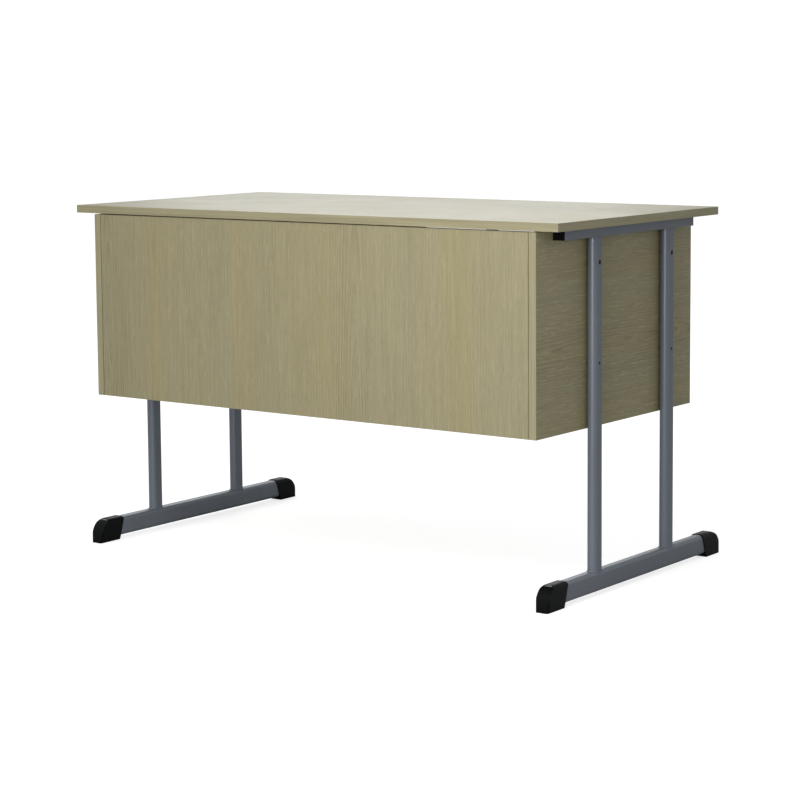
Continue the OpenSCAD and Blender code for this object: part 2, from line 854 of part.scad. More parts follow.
module handle_screws(at, axis) {
    for (foot = handle_feet(at, axis))
        screw([foot - [0, board_t, 0], [0, 1, 0], handle_screw_d, board_t + handle_screw_bite]);
}

module drawer_handle() {
    color(zinc) bar_handle(drawer_handle_at, ALONG_X);
}

module drawer_handle_screws() {
    color(zinc) handle_screws(drawer_handle_at, ALONG_X);
}

module door_handle() {
    color(zinc) bar_handle(door_handle_at, ALONG_Z);
}

module door_handle_screws() {
    color(zinc) handle_screws(door_handle_at, ALONG_Z);
}

module lock_bore(at) {
    translate(at - [0, board_t + past, 0]) orient([0, 1, 0])
        cylinder(d = lock_d + hole_ease, h = board_t + 2 * past);
}

// The fixed outside of a lock: a barrel through the front and a flange on its face
module lock_housing(at) {
    translate([at[0], lock_tail_y, at[2]]) orient([0, 1, 0]) difference() {
        union() {
            cylinder(d = lock_d, h = lock_tail + board_t);
            translate([0, 0, lock_tail + board_t])
                cylinder(d = lock_flange_d, h = lock_flange_t);
        }
        translate([0, 0, -past])
            cylinder(d = plug_d + 2 * plug_fit, h = lock_tail + board_t + lock_flange_t + 2 * past);
    }
}

// The turning part of a lock, with its keyhole and the rivet that holds the cam
module lock_plug(at) {
    plug_l = lock_tail + board_t + lock_flange_t + plug_proud;
    rivet_l = lock_cam_gap + lock_cam_t;
    translate([at[0], lock_tail_y, at[2]]) orient([0, 1, 0]) difference() {
        union() {
            translate([0, 0, -lock_cam_gap]) cylinder(d = plug_d, h = plug_l + lock_cam_gap);
            translate([0, 0, -rivet_l]) cylinder(d = cam_rivet_d, h = rivet_l);
        }
        translate([-key_w / 2, -key_h / 2, plug_l - key_deep])
            cube([key_w, key_h, key_deep + past]);
    }
}

// The arm on the plug's tail, pointing down when unlocked
module lock_cam(at) {
    corner = 2;
    translate([at[0], lock_tail_y - lock_cam_gap, at[2]]) rotate([90, 0, 0])
        linear_extrude(lock_cam_t) difference() {
            translate([0, (lock_cam_w / 2 - lock_cam_l) / 2])
                round_rect(lock_cam_w, lock_cam_l + lock_cam_w / 2, corner);
            circle(d = cam_rivet_d);
        }
}

module drawer_lock_housing() {
    color(zinc) lock_housing(drawer_lock_at);
}

module drawer_lock_plug() {
    color(zinc) lock_plug(drawer_lock_at);
}

module drawer_lock_cam() {
    color(zinc) lock_cam(drawer_lock_at);
}

module door_lock_housing() {
    color(zinc) lock_housing(door_lock_at);
}

module door_lock_plug() {
    color(zinc) lock_plug(door_lock_at);
}

module door_lock_cam() {
    color(zinc) lock_cam(door_lock_at);
}

module door() {
    color(oak) board_core(door_board) {
        lock_bore(door_lock_at);
        handle_holes(door_handle_at, ALONG_Z);
        pilots(hinge_door_screw_list);
    }
}

module door_edge_band() {
    color(oak_edge) edge_band(door_board);
}

// One leaf: the plate clears the other leaf's knuckles, and tabs join it to its own
module hinge_leaf(z, w, plate_y, first) {
    seg = hinge_h / knuckles;
    clear = knuckle_r + knuckle_fit;
    translate([hinge_x, hinge_y, z]) difference() {
        union() {
            translate([clear, plate_y - hinge_y, 0]) cube([w - clear, leaf_t, hinge_h]);
            for (k = [first:2:knuckles - 1]) translate([0, 0, k * seg + knuckle_gap / 2]) {
                cylinder(r = knuckle_r, h = seg - knuckle_gap);
                translate([0, plate_y - hinge_y, 0]) cube([clear + 1, leaf_t, seg - knuckle_gap]);
            }
        }
        translate([0, 0, -past]) cylinder(r = pin_r + pin_fit, h = hinge_h + 2 * past);
    }
}

module hinge_fixed_leaves() {
    color(zinc) for (z = hinge_zs) difference() {
        hinge_leaf(z, -side_x - hinge_x + fixed_leaf_w, side_back, 0);
        for (s = hinge_fixed_screws) translate(s[0]) orient([0, -1, 0])
            translate([0, 0, -past]) cylinder(d = hinge_head_d + hole_ease, h = leaf_t + 2 * past);
    }
}

module hinge_moving_leaves() {
    color(zinc) for (z = hinge_zs) difference() {
        hinge_leaf(z, -side_x - hinge_x + moving_leaf_w, overlay_y - leaf_t, 1);
        for (s = hinge_door_screw_list) translate(s[0]) orient([0, 1, 0])
            translate([0, 0, -past]) cylinder(d = hinge_head_d + hole_ease, h = leaf_t + 2 * past);
    }
}

module hinge_pins() {
    color(zinc) for (z = hinge_zs) translate([hinge_x, hinge_y, z])
        cylinder(r = pin_r, h = hinge_h);
}

module hinge_door_screws() {
    color(zinc) for (s = hinge_door_screw_list) flat_screw(s, hinge_head_d, leaf_t, true);
}

// Angle plates that the lock cams turn behind
module lock_strikes() {
    color(zinc) difference() {
        union() {
            translate([drawer_lock_at[0] - strike_w / 2, strike_y, top_z - drawer_strike_drop])
                cube([strike_w, strike_t, drawer_strike_drop]);
            translate([drawer_lock_at[0] - strike_w / 2, strike_y - strike_foot, top_z - strike_t])
                cube([strike_w, strike_foot + strike_t, strike_t]);
            translate([divider_x - door_strike_reach, strike_y, door_lock_at[2] - strike_w / 2])
                cube([door_strike_reach, strike_t, strike_w]);
            translate([divider_x - strike_t, strike_y - strike_foot,
                       door_lock_at[2] - strike_w / 2])
                cube([strike_t, strike_foot + strike_t, strike_w]);
        }
        pilots(strike_top_screws);
        pilots(strike_divider_screws);
    }
}

module door_catch() {
    color(black_plastic) difference() {
        translate([catch_x - catch_size[0] / 2, catch_y, shelf_z - catch_size[2]])
            cube(catch_size);
        for (s = catch_screws) translate([s[0][0], s[0][1], shelf_z - catch_size[2] - past])
            cylinder(d = catch_head_room, h = catch_size[2] - catch_ear_t + past);
        pilots(catch_screws);
    }
}

module door_catch_plate() {
    inset = 1;
    color(zinc) translate([catch_x - catch_plate_w / 2, overlay_y - catch_plate_t,
                           shelf_z - catch_size[2] + inset])
        cube([catch_plate_w, catch_plate_t, catch_size[2] - 2 * inset]);
}

// Small screws of the hinges, the strikes and the catch
module pedestal_screws() {
    color(zinc) {
        for (s = hinge_fixed_screws) flat_screw(s, hinge_head_d, leaf_t, true);
        for (s = concat(strike_top_screws, strike_divider_screws, catch_screws)) screw(s);
    }
}

desk_top();
desk_top_edge_band();
front_panel();
left_side_panel();
right_side_panel();
panel_edge_bands();
pedestal_divider();
pedestal_bottom();
pedestal_shelf();
top_rail(-1);  // left_top_rail
top_rail(1);  // right_top_rail
upright(-1, upright_y[0]);  // left_front_upright
upright(-1, upright_y[1]);  // left_rear_upright
upright(1, upright_y[0]);  // right_front_upright
upright(1, upright_y[1]);  // right_rear_upright
foot_bar(-1);  // left_foot_bar
foot_bar(1);  // right_foot_bar
foot_caps(-1);  // left_foot_caps
foot_caps(1);  // right_foot_caps
rail_end_plugs();
upright_spacers();
panel_screws();
rail_screws();
corner_brackets();
bracket_screws();
cam_locks();
cam_bolts();
dowels();
drawer_front();
drawer_front_edge_band();
drawer_side(-1);  // drawer_left_side
drawer_side(1);  // drawer_right_side
drawer_back();
drawer_bottom();
drawer_dowels();
slide_cabinet_members();
slide_middle_members();
slide_drawer_members();
slide_cabinet_screws();
slide_drawer_screws();
drawer_handle();
drawer_handle_screws();
drawer_lock_housing();
drawer_lock_plug();
drawer_lock_cam();
door();
door_edge_band();
door_handle();
door_handle_screws();
door_lock_housing();
door_lock_plug();
door_lock_cam();
hinge_fixed_leaves();
hinge_moving_leaves();
hinge_pins();
hinge_door_screws();
lock_strikes();
door_catch();
door_catch_plate();
pedestal_screws();
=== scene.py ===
import json
import math
import random

import bmesh
import bpy
from mathutils import Matrix, Vector

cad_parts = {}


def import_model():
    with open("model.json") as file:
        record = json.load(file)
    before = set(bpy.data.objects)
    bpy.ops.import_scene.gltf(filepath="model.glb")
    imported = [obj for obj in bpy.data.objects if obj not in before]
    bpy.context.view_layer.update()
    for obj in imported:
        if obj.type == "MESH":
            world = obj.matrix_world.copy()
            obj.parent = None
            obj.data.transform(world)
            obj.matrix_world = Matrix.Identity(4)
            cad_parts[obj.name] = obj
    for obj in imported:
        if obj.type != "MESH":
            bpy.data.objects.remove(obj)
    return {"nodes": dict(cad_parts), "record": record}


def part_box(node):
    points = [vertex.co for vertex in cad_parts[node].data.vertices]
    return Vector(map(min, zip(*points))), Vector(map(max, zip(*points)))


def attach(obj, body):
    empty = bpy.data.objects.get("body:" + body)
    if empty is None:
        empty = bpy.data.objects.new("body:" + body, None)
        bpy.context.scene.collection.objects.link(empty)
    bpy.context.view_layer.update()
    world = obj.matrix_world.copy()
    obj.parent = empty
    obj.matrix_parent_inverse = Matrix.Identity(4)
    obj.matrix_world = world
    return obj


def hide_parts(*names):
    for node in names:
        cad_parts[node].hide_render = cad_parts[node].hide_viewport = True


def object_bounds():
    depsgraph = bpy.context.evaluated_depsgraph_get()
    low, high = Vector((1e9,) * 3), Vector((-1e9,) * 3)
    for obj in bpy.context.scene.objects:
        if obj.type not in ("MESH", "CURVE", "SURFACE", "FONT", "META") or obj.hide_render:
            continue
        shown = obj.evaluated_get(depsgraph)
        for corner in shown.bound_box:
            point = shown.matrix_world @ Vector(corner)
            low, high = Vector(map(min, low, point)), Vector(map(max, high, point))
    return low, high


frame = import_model()
cad_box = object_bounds()

Z = Vector((0, 0, 1))
MM = 0.001


# ---------------------------------------------------------------- recipes for materials

class Recipe:
    """A procedural material: nodes that read object coordinates feed one principled surface."""

    def __init__(self, name, **surface):
        self.material = bpy.data.materials.new(name)
        self.material.use_nodes = True
        self.tree = self.material.node_tree
        self.surface = self.tree.nodes["Principled BSDF"]
        for socket, value in surface.items():
            self.surface.inputs[socket.replace("_", " ")].default_value = value
        self.coordinates = self.tree.nodes.new("ShaderNodeTexCoord")
        self.place = self.coordinates.outputs["Object"]

    def feed(self, socket, value):
        """Gives an input a constant, or links it to another node's output."""
        if isinstance(value, bpy.types.NodeSocket):
            self.tree.links.new(value, socket)
        else:
            socket.default_value = value

    def node(self, kind, inputs, **settings):
        made = self.tree.nodes.new("ShaderNode" + kind)
        for key, value in settings.items():
            setattr(made, key, value)
        for key, value in inputs.items():
            self.feed(made.inputs[key], value)
        return made

    def stretch(self, scale, where=None):
        """The coordinates scaled along each axis, in repeats a metre."""
        return self.node("Mapping", {"Vector": where or self.place, "Scale": scale}).outputs[0]

    def noise(self, where, scale=1.0, detail=2.0, roughness=0.5):
        inputs = {"Vector": where, "Scale": scale, "Detail": detail, "Roughness": roughness}
        return self.node("TexNoise", inputs).outputs[0]

    def math(self, operation, *values):
        return self.node("Math", dict(enumerate(values)), operation=operation).outputs[0]

    def span(self, value, low, high, to_low=0.0, to_high=1.0, smooth=False):
        """Maps a value from low..high to to_low..to_high, clamped."""
        inputs = {"Value": value, "From Min": low, "From Max": high,
                  "To Min": to_low, "To Max": to_high}
        kind = "SMOOTHSTEP" if smooth else "LINEAR"
        return self.node("MapRange", inputs, interpolation_type=kind).outputs[0]

    def mix(self, share, first, second, blend="MIX"):
        """A colour between two; colours are 3 numbers or other nodes' outputs."""
        made = self.node("Mix", {0: share}, data_type="RGBA", blend_type=blend)
        for index, colour in ((6, first), (7, second)):
            value = (*colour, 1) if isinstance(colour, tuple) else colour
            self.feed(made.inputs[index], value)
        return made.outputs[2]

    def total(self, *terms):
        """The sum of (value, centre, weight) terms, each weighted about its centre."""
        result = 0.0
        for value, centre, weight in terms:
            shifted = self.math("MULTIPLY_ADD", value, weight, -centre * weight)
            result = self.math("ADD", shifted, result)
        return result

    def relief(self, height, depth):
        """Bump of a height field whose full range stands for depth, in metres."""
        inputs = {"Height": height, "Distance": depth, "Strength": 1.0}
        return self.node("Bump", inputs).outputs[0]

    def edge_wear(self, radius):
        """1 along the convex edges of the piece, 0 on its faces."""
        rounded = self.node("Bevel", {"Radius": radius}, samples=4).outputs[0]
        true = self.node("NewGeometry", {}).outputs["Normal"]
        dot = self.node("VectorMath", {0: rounded, 1: true}, operation="DOT_PRODUCT")
        return self.span(dot.outputs["Value"], 0.995, 0.85)

    def finish(self, colour=None, roughness=None, normal=None, metallic=None):
        sockets = {"Base Color": colour, "Roughness": roughness,
                   "Normal": normal, "Metallic": metallic}
        for socket, value in sockets.items():
            if value is not None:
                self.feed(self.surface.inputs[socket], value)
        return self.material


# ---------------------------------------------------------------- materials of the boards

def grain_axes(recipe, across, along):
    """Coordinates with z along the grain; across and along are axis numbers 0, 1, 2."""
    split = recipe.node("SeparateXYZ", {0: recipe.place})
    through = 3 - across - along
    order = {0: split.outputs[across], 1: split.outputs[through], 2: split.outputs[along]}
    return recipe.node("CombineXYZ", order).outputs[0]


def oak_figure(recipe, where, heart, root, flames):
    """Oak print on a melamine face: returns its tone, about 0.5, its pores and its fibres.

    The growth rings are long ellipses round a heart line: they run straight and parallel
    beside it and close into pointed arches where the heart nears the face, at root."""
    split = recipe.node("SeparateXYZ", {0: where})
    across, along = split.outputs[0], split.outputs[2]
    slow = recipe.noise(recipe.stretch((2.5, 2.5, 0.9), where), detail=2)
    quick = recipe.noise(recipe.stretch((38.0, 38.0, 5.0), where), detail=3)
    bent = recipe.total((across, heart, 1.0), (slow, 0.5, 0.05), (quick, 0.5, 0.007))
    board = recipe.math("PINGPONG", bent, 0.33)
    climb = recipe.total((along, root, 0.06), (slow, 0.5, 0.05), (quick, 0.5, 0.006))
    squares = recipe.math("ADD", recipe.math("MULTIPLY", board, board),
                          recipe.math("MULTIPLY", climb, climb))
    rings = recipe.math("MULTIPLY", recipe.math("SQRT", squares), 165.0)
    ring = recipe.math("FRACT", rings)
    patch = recipe.noise(recipe.stretch((18.0, 18.0, 2.5), where), detail=2)
    near = recipe.span(recipe.math("SQRT", squares), 0.015, 0.075, 1.0, 0.35, smooth=True)
    late = recipe.math("MULTIPLY", recipe.math("POWER", ring, 2.5), recipe.span(patch, 0.3, 0.6))
    late = recipe.math("MULTIPLY", late, near)
    bands = recipe.noise(recipe.stretch((14.0, 14.0, 0.4), where), detail=3)
    streaks = recipe.noise(recipe.stretch((260.0, 260.0, 7.0), where), detail=3, roughness=0.62)
    fibres = recipe.noise(recipe.stretch((900.0, 900.0, 26.0), where), detail=2, roughness=0.6)
    pores = recipe.noise(recipe.stretch((1100.0, 1100.0, 55.0), where), detail=1)
    pores = recipe.math("MULTIPLY", recipe.span(pores, 0.56, 0.72), recipe.span(ring, 0.2, 0.9))
    rays = recipe.noise(recipe.stretch((420.0, 420.0, 40.0), where), detail=1)
    rays = recipe.span(rays, 0.58, 0.76)
    tone = recipe.total((streaks, 0.5, 0.75), (late, 0.1, -0.55), (bands, 0.5, 0.35),
                        (fibres, 0.5, 0.8), (pores, 0.1, -0.4), (rays, 0.08, flames),
                        (slow, 0.5, 0.2), (0.5, 0.0, 1.0))
    return tone, bands, pores, fibres


OAK_DARK, OAK_LIGHT = (0.197, 0.172, 0.094), (0.355, 0.319, 0.200)


def laminate(name, across, along, heart, root, flames=0.28, shine=0.5):
    """Melamine-faced board with a printed oak figure and a fine pore relief."""
    recipe = Recipe(name, Specular_IOR_Level=shine)
    where = grain_axes(recipe, across, along)
    tone, bands, pores, fibres = oak_figure(recipe, where, heart, root, flames)
    colour = recipe.mix(recipe.span(tone, 0.0, 1.0), OAK_DARK, OAK_LIGHT)
    warm = recipe.mix(1.0, colour, (1.0, 0.965, 0.86), blend="MULTIPLY")
    colour = recipe.mix(recipe.span(bands, 0.40, 0.62), colour, warm)
    handled = recipe.noise(recipe.place, scale=7.0, detail=3)
    rough = recipe.total((handled, 0.5, 0.16), (pores, 0.0, 0.15), (0.40, 0.0, 1.0))
    depth = recipe.total((pores, 0.0, -1.0), (fibres, 0.5, 0.35))
    return recipe.finish(colour, rough, recipe.relief(depth, 0.06 * MM))


def banding(name, turned_axis, usual, turned, streaking, banded):
    """PVC band in the same oak print. Its grain follows the band: usual and turned name the
    axes across, through and along it, turned being for faces that look along turned_axis."""
    recipe = Recipe(name)
    facing = recipe.node("SeparateXYZ", {0: recipe.coordinates.outputs["Normal"]})
    swap = recipe.math("GREATER_THAN", recipe.math("ABSOLUTE", facing.outputs[turned_axis]), 0.7)
    split = recipe.node("SeparateXYZ", {0: recipe.place})
    ways = [recipe.node("CombineXYZ", {k: split.outputs[axis] for k, axis in enumerate(order)})
            for order in (usual, turned)]
    where = recipe.node("Mix", {0: swap, 4: ways[0].outputs[0], 5: ways[1].outputs[0]},
                        data_type="VECTOR").outputs[1]
    (streak_scale, streak_weight), (band_scale, band_weight, level) = streaking, banded
    streaks = recipe.noise(recipe.stretch(streak_scale, where), detail=3, roughness=0.6)
    bands = recipe.noise(recipe.stretch(band_scale, where), detail=2)
    tone = recipe.total((streaks, 0.5, streak_weight), (bands, 0.5, band_weight),
                        (level, 0.0, 1.0))
    colour = recipe.mix(recipe.span(tone, 0.0, 1.0), OAK_DARK, OAK_LIGHT)
    worn = recipe.edge_wear(0.5 * MM)
    colour = recipe.mix(recipe.math("MULTIPLY", worn, 0.3), colour, (0.46, 0.43, 0.31))
    rough = recipe.total((streaks, 0.5, 0.2), (0.42, 0.0, 1.0))
    return recipe.finish(colour, rough, recipe.relief(streaks, 0.05 * MM))


# ---------------------------------------------------------------- materials of the fittings

def frame_paint():
    """Silver-grey powder coat: fine orange peel, faint mottling, edges rubbed a little paler."""
    recipe = Recipe("frame_paint")
    peel = recipe.noise(recipe.place, scale=420.0, detail=2)
    grains = recipe.noise(recipe.place, scale=1500.0, detail=1)
    clouds = recipe.noise(recipe.stretch((14.0, 14.0, 5.0)), detail=3)
    tone = recipe.total((clouds, 0.5, 0.5), (grains, 0.5, 0.5), (0.5, 0.0, 1.0))
    colour = recipe.mix(recipe.span(tone, 0.0, 1.0), (0.122, 0.136, 0.164), (0.172, 0.189, 0.226))
    worn = recipe.math("MULTIPLY", recipe.edge_wear(0.8 * MM), recipe.span(clouds, 0.4, 0.7))
    colour = recipe.mix(recipe.math("MULTIPLY", worn, 0.4), colour, (0.26, 0.27, 0.29))
    rough = recipe.total((clouds, 0.5, 0.15), (grains, 0.5, 0.1), (0.34, 0.0, 1.0))
    recipe.surface.inputs["Metallic"].default_value = 0.2
    return recipe.finish(colour, rough, recipe.relief(peel, 0.05 * MM))


def black_plastic():
    """Moulded black plastic: fine spark texture, grey scuffs where the foot meets shoes."""
    recipe = Recipe("black_plastic", Specular_IOR_Level=0.10)
    grain = recipe.noise(recipe.place, scale=1300.0, detail=2)
    scuffs = recipe.noise(recipe.stretch((40.0, 260.0, 90.0)), detail=4, roughness=0.65)
    rubbed = recipe.math("MULTIPLY", recipe.span(scuffs, 0.60, 0.75), 0.35)
    worn = recipe.math("MULTIPLY", recipe.edge_wear(1.0 * MM), 0.25)
    share = recipe.math("MAXIMUM", rubbed, worn)
    colour = recipe.mix(share, (0.002, 0.0022, 0.0025), (0.018, 0.0185, 0.020))
    rough = recipe.total((scuffs, 0.5, 0.25), (0.36, 0.0, 1.0))
    return recipe.finish(colour, rough, recipe.relief(grain, 0.03 * MM))


def metal(name, pale, dark, rough, brushed, grain_depth=0.02):
    """A plated metal: brush lines or mottling along an axis, tarnish and rubbed edges."""
    recipe = Recipe(name, Metallic=1.0)
    lines = recipe.noise(recipe.stretch(brushed), detail=3, roughness=0.6)
    tarnish = recipe.noise(recipe.place, scale=60.0, detail=4, roughness=0.6)
    share = recipe.total((lines, 0.5, 0.8), (tarnish, 0.5, 1.2), (0.5, 0.0, 1.0))
    colour = recipe.mix(recipe.span(share, 0.0, 1.0), dark, pale)
    worn = recipe.edge_wear(0.3 * MM)
    colour = recipe.mix(recipe.math("MULTIPLY", worn, 0.35), colour, pale)
    shine = recipe.total((tarnish, 0.5, -0.2), (lines, 0.5, 0.2), (rough, 0.0, 1.0))
    return recipe.finish(colour, shine, recipe.relief(lines, grain_depth * MM))


def rusty_zinc():
    """Yellowed zinc gone brown with rust in the recesses."""
    recipe = Recipe("rusty_zinc")
    spots = recipe.noise(recipe.place, scale=420.0, detail=4, roughness=0.7)
    rust = recipe.span(spots, 0.38, 0.58)
    colour = recipe.mix(rust, (0.62, 0.30, 0.15), (0.42, 0.11, 0.045))
    rough = recipe.span(rust, 0.0, 1.0, 0.40, 0.85)
    shine = recipe.span(rust, 0.0, 1.0, 0.9, 0.1)
    return recipe.finish(colour, rough, recipe.relief(spots, 0.15 * MM), shine)


def beech():
    """Turned beech: pale, with short darker flecks along the dowel."""
    recipe = Recipe("beech")
    flecks = recipe.noise(recipe.stretch((600.0, 600.0, 90.0)), detail=2)
    bands = recipe.noise(recipe.place, scale=90.0, detail=2)
    share = recipe.total((flecks, 0.5, 1.4), (bands, 0.5, 0.6), (0.5, 0.0, 1.0))
    colour = recipe.mix(recipe.span(share, 0.0, 1.0), (0.45, 0.27, 0.13), (0.66, 0.46, 0.27))
    return recipe.finish(colour, recipe.span(bands, 0.3, 0.7, 0.5, 0.7),
                         recipe.relief(flecks, 0.08 * MM))


def hardboard():
    """Hardboard with a white printed face and a faint fibre texture."""
    recipe = Recipe("hardboard")
    fibres = recipe.noise(recipe.stretch((300.0, 120.0, 300.0)), detail=4, roughness=0.6)
    clouds = recipe.noise(recipe.place, scale=9.0, detail=3)
    share = recipe.total((fibres, 0.5, 0.9), (clouds, 0.5, 0.9), (0.5, 0.0, 1.0))
    colour = recipe.mix(recipe.span(share, 0.0, 1.0), (0.56, 0.54, 0.50), (0.72, 0.71, 0.68))
    return recipe.finish(colour, recipe.span(clouds, 0.3, 0.7, 0.45, 0.6),
                         recipe.relief(fibres, 0.06 * MM))


paint = frame_paint()
plastic = black_plastic()
zinc = metal("zinc", (0.72, 0.73, 0.74), (0.42, 0.43, 0.45), 0.34, (500.0, 500.0, 500.0))
slide_steel = metal("slide_steel", (0.66, 0.67, 0.69), (0.44, 0.45, 0.47), 0.30,
                    (900.0, 12.0, 900.0))
nickel_x = metal("satin_nickel_x", (0.64, 0.63, 0.61), (0.47, 0.46, 0.44), 0.28,
                 (14.0, 1400.0, 1400.0))
nickel_z = metal("satin_nickel_z", (0.64, 0.63, 0.61), (0.47, 0.46, 0.44), 0.28,
                 (1400.0, 1400.0, 14.0))
lock_nickel = metal("lock_nickel", (0.70, 0.69, 0.67), (0.50, 0.49, 0.47), 0.22,
                    (300.0, 300.0, 300.0), 0.01)
rust = rusty_zinc()
band_level = banding("edge_banding", 0, (2, 1, 0), (2, 0, 1),
                     ((520.0, 520.0, 7.0), 1.2), ((60.0, 60.0, 1.2), 0.7, 0.56))
band_upright = banding("upright_banding", 2, (0, 1, 2), (0, 2, 1),
                       ((420.0, 420.0, 6.0), 1.0), ((70.0, 70.0, 1.2), 0.5, 0.58))
top_oak = laminate("laminate_top", 1, 0, 0.06, -0.35, shine=0.57)
front_oak = laminate("laminate_front", 0, 2, 0.14, 0.36)
side_oak = laminate("laminate_side", 2, 1, 0.47, -0.20, flames=0.55)
shelf_oak = laminate("laminate_shelf", 0, 1, -0.30, 0.10)
back_oak = laminate("laminate_drawer_back", 2, 0, 0.60, -0.40)

MATERIALS = {
    "desk_top": top_oak,
    "front_panel": front_oak,
    "left_side_panel": side_oak,
    "right_side_panel": side_oak,
    "pedestal_divider": side_oak,
    "pedestal_bottom": shelf_oak,
    "pedestal_shelf": shelf_oak,
    "drawer_front": front_oak,
    "door": front_oak,
    "drawer_left_side": side_oak,
    "drawer_right_side": side_oak,
    "drawer_back": back_oak,
    "drawer_bottom": hardboard(),
    "desk_top_edge_band": band_level,
    "panel_edge_bands": band_upright,
    "drawer_front_edge_band": band_upright,
    "door_edge_band": band_upright,
    "rail_end_plugs": plastic,
    "upright_spacers": plastic,
    "left_foot_caps": plastic,
    "right_foot_caps": plastic,
    "door_catch": plastic,
    "drawer_handle": nickel_x,
    "door_handle": nickel_z,
    "dowels": beech(),
    "panel_screws": rust,
}
MATERIALS["drawer_dowels"] = MATERIALS["dowels"]
PAINTED = ("rail", "upright", "foot_bar")
LOCK_PARTS = ("housing", "plug", "lock_cam")


def material_of(name):
    """The material of a CAD node: its own, or that of its kind."""
    if name in MATERIALS:
        return MATERIALS[name]
    if "lock_" in name and name.endswith(LOCK_PARTS):
        return lock_nickel
    if "slide" in name and "members" in name:
        return slide_steel
    if "screws" not in name and any(word in name for word in PAINTED):
        return paint
    return zinc


for name, node in frame["nodes"].items():
    node.material_slots[0].material = material_of(name)


# ---------------------------------------------------------------- softened edges

def node_group(name, extra=()):
    """An empty geometry node group: (group, its input node, its output node)."""
    group = bpy.data.node_groups.new(name, "GeometryNodeTree")
    group.interface.new_socket("Geometry", in_out="INPUT", socket_type="NodeSocketGeometry")
    for socket in extra:
        group.interface.new_socket(socket, in_out="INPUT", socket_type="NodeSocketFloat")
    group.interface.new_socket("Geometry", in_out="OUTPUT", socket_type="NodeSocketGeometry")
    return group, group.nodes.new("NodeGroupInput"), group.nodes.new("NodeGroupOutput")


def chain(group, nodes):
    """Links nodes one after another by their geometry sockets."""
    for before, after in zip(nodes, nodes[1:]):
        group.links.new(before.outputs[0], after.inputs[0])


def sharp_test(group, degrees):
    """A node that is true on edges which turn by more than some degrees."""
    angle = group.nodes.new("GeometryNodeInputMeshEdgeAngle")
    test = group.nodes.new("FunctionNodeCompare")
    test.operation = "GREATER_THAN"
    test.inputs[1].default_value = math.radians(degrees)
    group.links.new(angle.outputs["Unsigned Angle"], test.inputs[0])
    return test


def mark_group():
    """Joins a mesh's split corners and marks its long sharp edges for a bevel."""
    group, start, end = node_group("mark_edges", ["Shortest"])
    merge = group.nodes.new("GeometryNodeMergeByDistance")
    merge.inputs["Distance"].default_value = 0.002 * MM
    forget = group.nodes.new("GeometryNodeRemoveAttribute")
    forget.inputs["Name"].default_value = "custom_normal"
    ends = group.nodes.new("GeometryNodeInputMeshEdgeVertices")
    length = group.nodes.new("ShaderNodeVectorMath")
    length.operation = "DISTANCE"
    long = group.nodes.new("FunctionNodeCompare")
    long.operation = "GREATER_THAN"
    both = group.nodes.new("FunctionNodeBooleanMath")
    store = group.nodes.new("GeometryNodeStoreNamedAttribute")
    store.domain = "EDGE"
    store.inputs["Name"].default_value = "bevel_weight_edge"
    group.links.new(ends.outputs["Position 1"], length.inputs[0])
    group.links.new(ends.outputs["Position 2"], length.inputs[1])
    group.links.new(length.outputs["Value"], long.inputs[0])
    group.links.new(start.outputs["Shortest"], long.inputs[1])
    group.links.new(long.outputs[0], both.inputs[0])
    group.links.new(sharp_test(group, 35).outputs[0], both.inputs[1])
    group.links.new(both.outputs[0], store.inputs["Value"])
    chain(group, [start, merge, forget, store, end])
    return group


def shade_group():
    """Shades a mesh smooth, apart from its sharp edges."""
    group, start, end = node_group("shade_edges")
    faces = group.nodes.new("GeometryNodeSetShadeSmooth")
    edges = group.nodes.new("GeometryNodeSetShadeSmooth")
    edges.domain = "EDGE"
    edges.inputs["Shade Smooth"].default_value = False
    group.links.new(sharp_test(group, 35).outputs[0], edges.inputs["Selection"])
    chain(group, [start, faces, edges, end])
    return group


mark_edges, shade_edges = mark_group(), shade_group()


SHORTEST_EDGE = 3 * MM


def soften(node, width):
    """Rounds a node's long sharp edges by width; its shortest edges stay sharp."""
    mark = node.modifiers.new("mark", "NODES")
    mark.node_group = mark_edges
    mark["Socket_1"] = SHORTEST_EDGE
    bevel = node.modifiers.new("bevel", "BEVEL")
    bevel.width = width
    bevel.segments = 2
    bevel.limit_method = "WEIGHT"
    bevel.miter_outer = "MITER_ARC"
    node.modifiers.new("shade", "NODES").node_group = shade_edges
    weights = node.modifiers.new("normals", "WEIGHTED_NORMAL")
    weights.keep_sharp = True


SOFT_EDGES = {
    "desk_top_edge_band": 0.5, "panel_edge_bands": 0.4,
    "drawer_front_edge_band": 0.5, "door_edge_band": 0.5,
    "left_foot_caps": 1.0, "right_foot_caps": 1.0, "rail_end_plugs": 0.7,
    "left_top_rail": 0.3, "right_top_rail": 0.3,
    "left_foot_bar": 0.3, "right_foot_bar": 0.3,
    "drawer_handle": 0.6, "door_handle": 0.6,
    "corner_brackets": 0.3, "door_catch": 0.4, "lock_strikes": 0.3,
    "drawer_left_side": 0.4, "drawer_right_side": 0.4, "drawer_back": 0.4,
    "pedestal_bottom": 0.3, "pedestal_shelf": 0.3, "door_catch_plate": 0.15,
    "hinge_fixed_leaves": 0.2, "hinge_moving_leaves": 0.2,
    "slide_cabinet_members": 0.2, "slide_middle_members": 0.2, "slide_drawer_members": 0.2,
}
for name, width in SOFT_EDGES.items():
    soften(frame["nodes"][name], width * MM)


# ---------------------------------------------------------------- added pieces

BODY_OF = {name: body for body, names in frame["record"]["behaviour"]["bodies"].items()
           for name in names}


